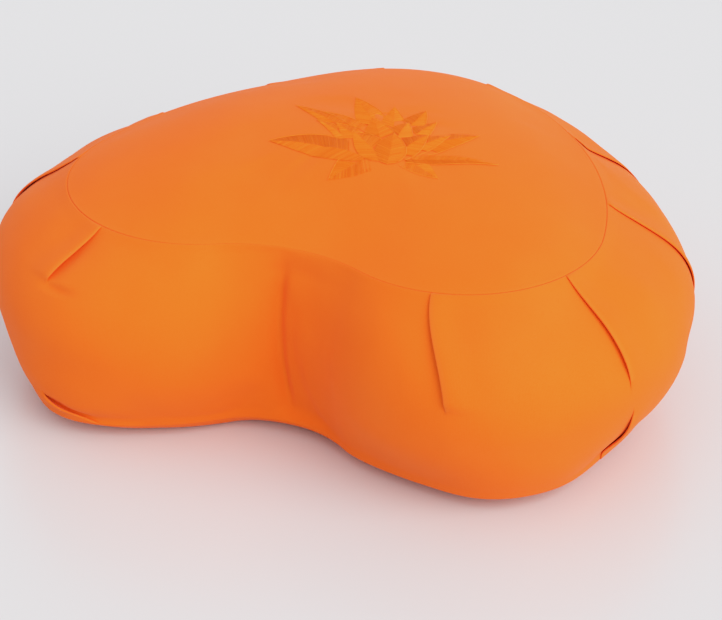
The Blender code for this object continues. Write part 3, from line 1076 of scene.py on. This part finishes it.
# start right and away, tip right and away and width, in millimetres; bend to the right; tone,
# partly dye and partly painted sheen
PETALS = [(*(length / 1000 for length in row[:5]), *row[5:]) for row in (
    (0, 22, 33, -13, 19, 0.06, 0.5),
    (6, 24, -35, -14, 27, -0.04, 0.35),
    (0, 10, -22.5, 87, 22, 0.04, 0.4),
    (2, 10, 3, 73, 18, 0.03, 0.6),
    (4, 10, 24, 72, 20, -0.04, 0.35),
    (8, 8, 31, 56, 16, -0.06, 0.65),
    (-6, 8, -41, 62, 20, 0.06, 0.45),
    (-12, 4, -61, 75, 13, 0.12, 0.3),
    (-12, 4, -46, 50, 11, 0.1, 0.65),
    (10, 8, 58, 43, 19, -0.05, 0.35),
    (10, 6, 40, 37, 14, -0.08, 0.6),
    (4, 2, 70, 9, 10, -0.05, 0.45),
    (-10, 4, -75, 29, 23, 0.08, 0.3),
    (2, 4, 13, 50, 20, -0.05, 0.6),
    (-2, 2, -10, 52, 22, 0.05, 0.35),
    (-6, 2, -33, 44, 19, 0.12, 0.55),
    (4, 0, 26, 34, 18, -0.1, 0.3),
    (-4, 0, -22, 34, 20, 0.12, 0.5),
    (1, -3, 4, 32, 20, 0.02, 0.4),
)]
STITCH_PITCH, STITCH_SLANT, STEM_STITCH = 0.00046, 0.55, 0.0026
LAYER_LIFT, OUTLINE_LIFT = 0.00002, 0.00015
TONE_SPREAD = 0.22
stitch_random = np.random.default_rng(11)


def petal_shape(petal, shares):
    """A petal's midrib, sideways directions and half widths, at shares of the way to the tip."""
    start, tip = np.array(petal[:2]), np.array(petal[2:4])
    way = tip - start
    aside = np.array((way[1], -way[0]))
    knee = (start + tip) / 2 + aside * petal[5]
    shares = np.asarray(shares)[..., None]
    rib = (1 - shares) ** 2 * start + 2 * (1 - shares) * shares * knee + shares**2 * tip
    along = unit(2 * (1 - shares) * (knee - start) + 2 * shares * (tip - knee))
    side = np.stack((along[..., 1], -along[..., 0]), axis=-1)
    shares = np.clip(shares[..., 0], 0, 1)
    half = petal[4] / 2 * (shares**0.65 * (1 - shares) ** 0.95) / 0.336
    return rib, side, half


def inside_petal(petal, points):
    """Which points a petal covers."""
    rib, _, half = petal_shape(petal, np.linspace(0, 1, 80))
    apart = np.linalg.norm(points[:, None] - rib[None], axis=-1)
    return (apart < half[None]).any(axis=1)


def petal_stitches(petal):
    """Start and end points of a petal's satin stitches, and those of its outline."""
    length = math.dist(petal[:2], petal[2:4])
    count = int(length / STITCH_PITCH)
    shares = (np.arange(count) + 0.5) / count * 0.96 + 0.02
    start_rib, start_side, half = petal_shape(petal, shares)
    reached = np.clip(shares + STITCH_SLANT * half / length, 0, 0.995)
    end_rib, end_side, end_half = petal_shape(petal, reached)
    satin = []
    for hand in (-1, 1):
        starts = start_rib - hand * start_side * 0.00015
        ends = end_rib + hand * end_side * (end_half[:, None] - 0.0002)
        satin.append(np.stack((starts, ends), axis=1))
    steps = max(4, round(length / STEM_STITCH))
    rib, side, half = petal_shape(petal, np.linspace(0.12, 1.0, steps + 1))
    edge = rib + side * half[:, None]
    outline = np.stack((edge[:-1], edge[1:] + 0.15 * (edge[1:] - edge[:-1])), axis=1)
    return np.concatenate(satin), outline

stitch_lines, stitch_tones_and_sheen, stitch_lifts = [], [], []
for index, petal in enumerate(PETALS):
    for kind, lines in enumerate(petal_stitches(petal)):
        covered_up = np.zeros(len(lines), bool)
        for above in PETALS[index + 1:]:
            covered_up |= inside_petal(above, lines.mean(axis=1))
        kept = lines[~covered_up]
        stitch_lines.append(kept)
        spread = stitch_random.normal(0.0, TONE_SPREAD, len(kept))
        # Outline stitches are palest, a painted glint; a petal's own tone is partly dye, partly
        # painted sheen.
        stitch_tones_and_sheen.append(np.clip((1.0 if kind else 0.6 * petal[6]) + spread, 0.0, 1.0))
        stitch_lifts.append(np.full(len(kept), LAYER_LIFT * index + OUTLINE_LIFT * kind))
stitch_lines, stitch_tones_and_sheen, stitch_lifts = map(
    np.concatenate, (stitch_lines, stitch_tones_and_sheen, stitch_lifts)
)
print(len(PETALS), "petals,", len(stitch_lines), "stitches")

# %% [markdown]
# The stitches are a mesh of loose edges laid on the crown. Geometry Nodes make each edge a short
# arched length of thread: the ends are pulled a little out of line at random, the edge becomes a
# curve, the middle rises, and a small ring is swept along it.

# %% Lay the stitches on the top
turn = math.radians(LOTUS_TURN_DEG)
to_right = np.array((math.cos(turn), math.sin(turn)))
to_away = np.array((-math.sin(turn), math.cos(turn)))
ends = stitch_lines.reshape(-1, 2)
ends = LOTUS_BASE + ends[:, :1] * to_right + ends[:, 1:] * to_away
ground = BVHTree.FromObject(top_piece, bpy.context.evaluated_depsgraph_get())
down = Vector((0, 0, -1))
heights = np.array([ground.ray_cast(Vector((x, y, 1.0)), down)[0].z for x, y in ends])
heights += np.repeat(stitch_lifts, 2)
stitch_mesh = bpy.data.meshes.new("lotus_lines")
pairs = np.arange(len(ends)).reshape(-1, 2).tolist()
stitch_mesh.from_pydata(np.column_stack((ends, heights)), pairs, [])
tone = stitch_mesh.attributes.new("tone", "FLOAT", "POINT")
tone.data.foreach_set("value", np.repeat(stitch_tones_and_sheen, 2).astype(np.float32))
stitch_guide = placed("lotus_lines", stitch_mesh)


# %% Thread by Geometry Nodes
def thread_tree():
    """Loose edges become arched lengths of thread."""
    tree, given, result = new_group(
        "satin_thread", "GeometryNodeTree",
        Geometry=("INPUT", "Geometry"), Thread_radius=("INPUT", "Float"),
        Arch=("INPUT", "Float"), Unevenness=("INPUT", "Float"),
        Seed=("INPUT", "Int"), Thread=("INPUT", "Material"), Geometry_=("OUTPUT", "Geometry"),
    )

    def step(kind, inputs=(), **settings):
        return add_node(tree, kind, inputs, **settings).outputs[0]

    jitter = step(
        "FunctionNodeRandomValue", {0: (-1, -1, -0.3), 1: (1, 1, 0.3), "Seed": given["Seed"]},
        data_type="FLOAT_VECTOR",
    )
    scale = {0: jitter, "Scale": given["Unevenness"]}
    uneven = step("ShaderNodeVectorMath", scale, operation="SCALE")
    moved = step("GeometryNodeSetPosition", {"Geometry": given["Geometry"], "Offset": uneven})
    curves = step("GeometryNodeMeshToCurve", {"Mesh": moved})
    finer = step("GeometryNodeResampleCurve", {"Curve": curves, "Count": 4})
    along = add_node(tree, "GeometryNodeSplineParameter").outputs["Factor"]
    hump = add_math(tree, "MULTIPLY", along, add_math(tree, "SUBTRACT", 1.0, along))
    rise = add_math(tree, "MULTIPLY", hump, given["Arch"])
    upward = step("ShaderNodeCombineXYZ", {"Z": rise})
    arched = step("GeometryNodeSetPosition", {"Geometry": finer, "Offset": upward})
    ring_size = {"Resolution": 4, "Radius": given["Thread radius"]}
    ring = step("GeometryNodeCurvePrimitiveCircle", ring_size)
    tube = {"Curve": arched, "Profile Curve": ring, "Fill Caps": True}
    smooth = step("GeometryNodeSetShadeSmooth", {0: step("GeometryNodeCurveToMesh", tube)})
    real = step("GeometryNodeRealizeInstances", {0: smooth})
    dressed = step("GeometryNodeSetMaterial", {"Geometry": real, "Material": given["Thread"]})
    tree.links.new(dressed, result["Geometry"])
    return tree


def made_by(tree, guide, name, **values):
    """A plain mesh piece from a tree run on a guide, whose inputs are set by their identifiers."""
    modifier = guide.modifiers.new(tree.name, "NODES")
    modifier.node_group = tree
    for socket in tree.interface.items_tree:
        key = socket.name.replace(" ", "_")
        if socket.in_out == "INPUT" and key in values:
            modifier[socket.identifier] = values[key]
    bpy.context.view_layer.update()
    mesh = solved_mesh(guide)
    mesh.name = name
    guide.modifiers.remove(modifier)
    bpy.data.objects.remove(guide, do_unlink=True)
    return placed(name, mesh)


# %% [markdown]
# Rayon thread is smoother than the cotton under it, so it has a tighter gloss and a deeper colour.
# Each stitch's tone is partly its dye, partly painted sheen by petal, and a painted glint on the
# pale outline stitches.

# %% Thread material and the finished lotus
THREAD_DEEP, THREAD_PALE = (0.78, 0.116, 0.002), (0.97, 0.235, 0.020)


def thread_material():
    """Rayon thread, which each stitch's own tone, partly painted sheen, makes deeper or paler."""
    material, tree, shader = new_material("lotus_thread", Specular_IOR_Level=0.10)
    # Each stitch's tone: dye, painted sheen by petal, and a painted glint on outlines.
    tone_and_sheen_of_stitch = add_node(tree, "ShaderNodeAttribute", attribute_name="tone").outputs["Fac"]
    place = add_node(tree, "ShaderNodeTexCoord").outputs["Object"]
    strand = noise_texture(tree, place, 2600.0, 1.0)
    by_stitch = ramp(tree, tone_and_sheen_of_stitch, 0.0, 1.0, 0.0, 0.80)
    blend = add_math(tree, "ADD", by_stitch, ramp(tree, strand, 0.3, 0.7, 0.0, 0.20))
    colour = mix_colours(tree, blend, THREAD_DEEP, THREAD_PALE)
    tree.links.new(colour, shader.inputs["Base Color"])
    tree.links.new(ramp(tree, strand, 0.2, 0.8, 0.50, 0.62), shader.inputs["Roughness"])
    add_bump(tree, shader, strand, 0.3, 0.0001)
    return material


lotus_thread = thread_material()
lotus_piece = made_by(
    thread_tree(), stitch_guide, "lotus_stitches",
    Thread_radius=0.00020, Arch=0.0006, Unevenness=0.00010, Seed=7, Thread=lotus_thread,
)
print("lotus:", len(lotus_piece.data.polygons), "faces")

# %% [markdown]
# ## Studio
# A plain pale floor, a large soft light to the right and above, and an even pale surround.

# %% Floor, lights and surround
FLOOR_COLOUR, FLOOR_HALF = (0.66, 0.655, 0.668, 1.0), 12.0
KEY_AZIMUTH_DEG, KEY_ELEVATION_DEG, KEY_SPREAD_DEG = 70.0, 31.0, 60.0

floor_mesh = bpy.data.meshes.new("studio_floor")
corners = [(x * FLOOR_HALF, y * FLOOR_HALF, 0) for x, y in ((-1, -1), (1, -1), (1, 1), (-1, 1))]
floor_mesh.from_pydata(corners, [], [(0, 1, 2, 3)])
floor = placed("studio_floor", floor_mesh)
floor.location.z = -0.0002
floor_mesh.materials.append(new_material(
    "studio_paper", Base_Color=FLOOR_COLOUR, Roughness=0.30, Specular_IOR_Level=0.9
)[0])

surround = bpy.data.worlds.new("studio_surround")
surround.use_nodes = True
sky = surround.node_tree.nodes["Background"].inputs
sky["Color"].default_value, sky["Strength"].default_value = (0.96, 0.97, 1.0, 1.0), 0.84
scene.world = surround
scene.view_settings.view_transform = "Standard"

# An even light from far away, as from a large soft box.
key_light = bpy.data.lights.new("soft_key", "SUN")
key_light.angle = math.radians(KEY_SPREAD_DEG)
key_light.energy = 2.5
key_light.color = (1.0, 0.985, 0.95)
towards_key = away_from(KEY_AZIMUTH_DEG, KEY_ELEVATION_DEG).to_track_quat("Z", "Y")
placed("soft_key", key_light).rotation_euler = towards_key.to_euler()

# The brightest tones are eased off, as film does, so that lit cotton keeps its colour.
scene.view_settings.use_curve_mapping = True
tones = scene.view_settings.curve_mapping
tones.use_clip = False
shoulder = tones.curves[3].points
shoulder[0].location, shoulder[1].location = (0.0, 0.0), (0.72, 0.72)
shoulder.new(0.95, 0.83)
shoulder.new(1.5, 0.90)
tones.update()

# %% [markdown]
# ## The pieces on the body
# Each piece rides on the one body and stands for its CAD node, which is hidden.

# %% Ride and replace
for piece, node, slot in (
    (top_piece, "top_panel", "top_cotton"),
    (band_piece, "side_band", "band_cotton"),
    (base_piece, "bottom_panel", "base_cotton"),
):
    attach(piece, "root")
    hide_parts(node)
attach(lotus_piece, "root")
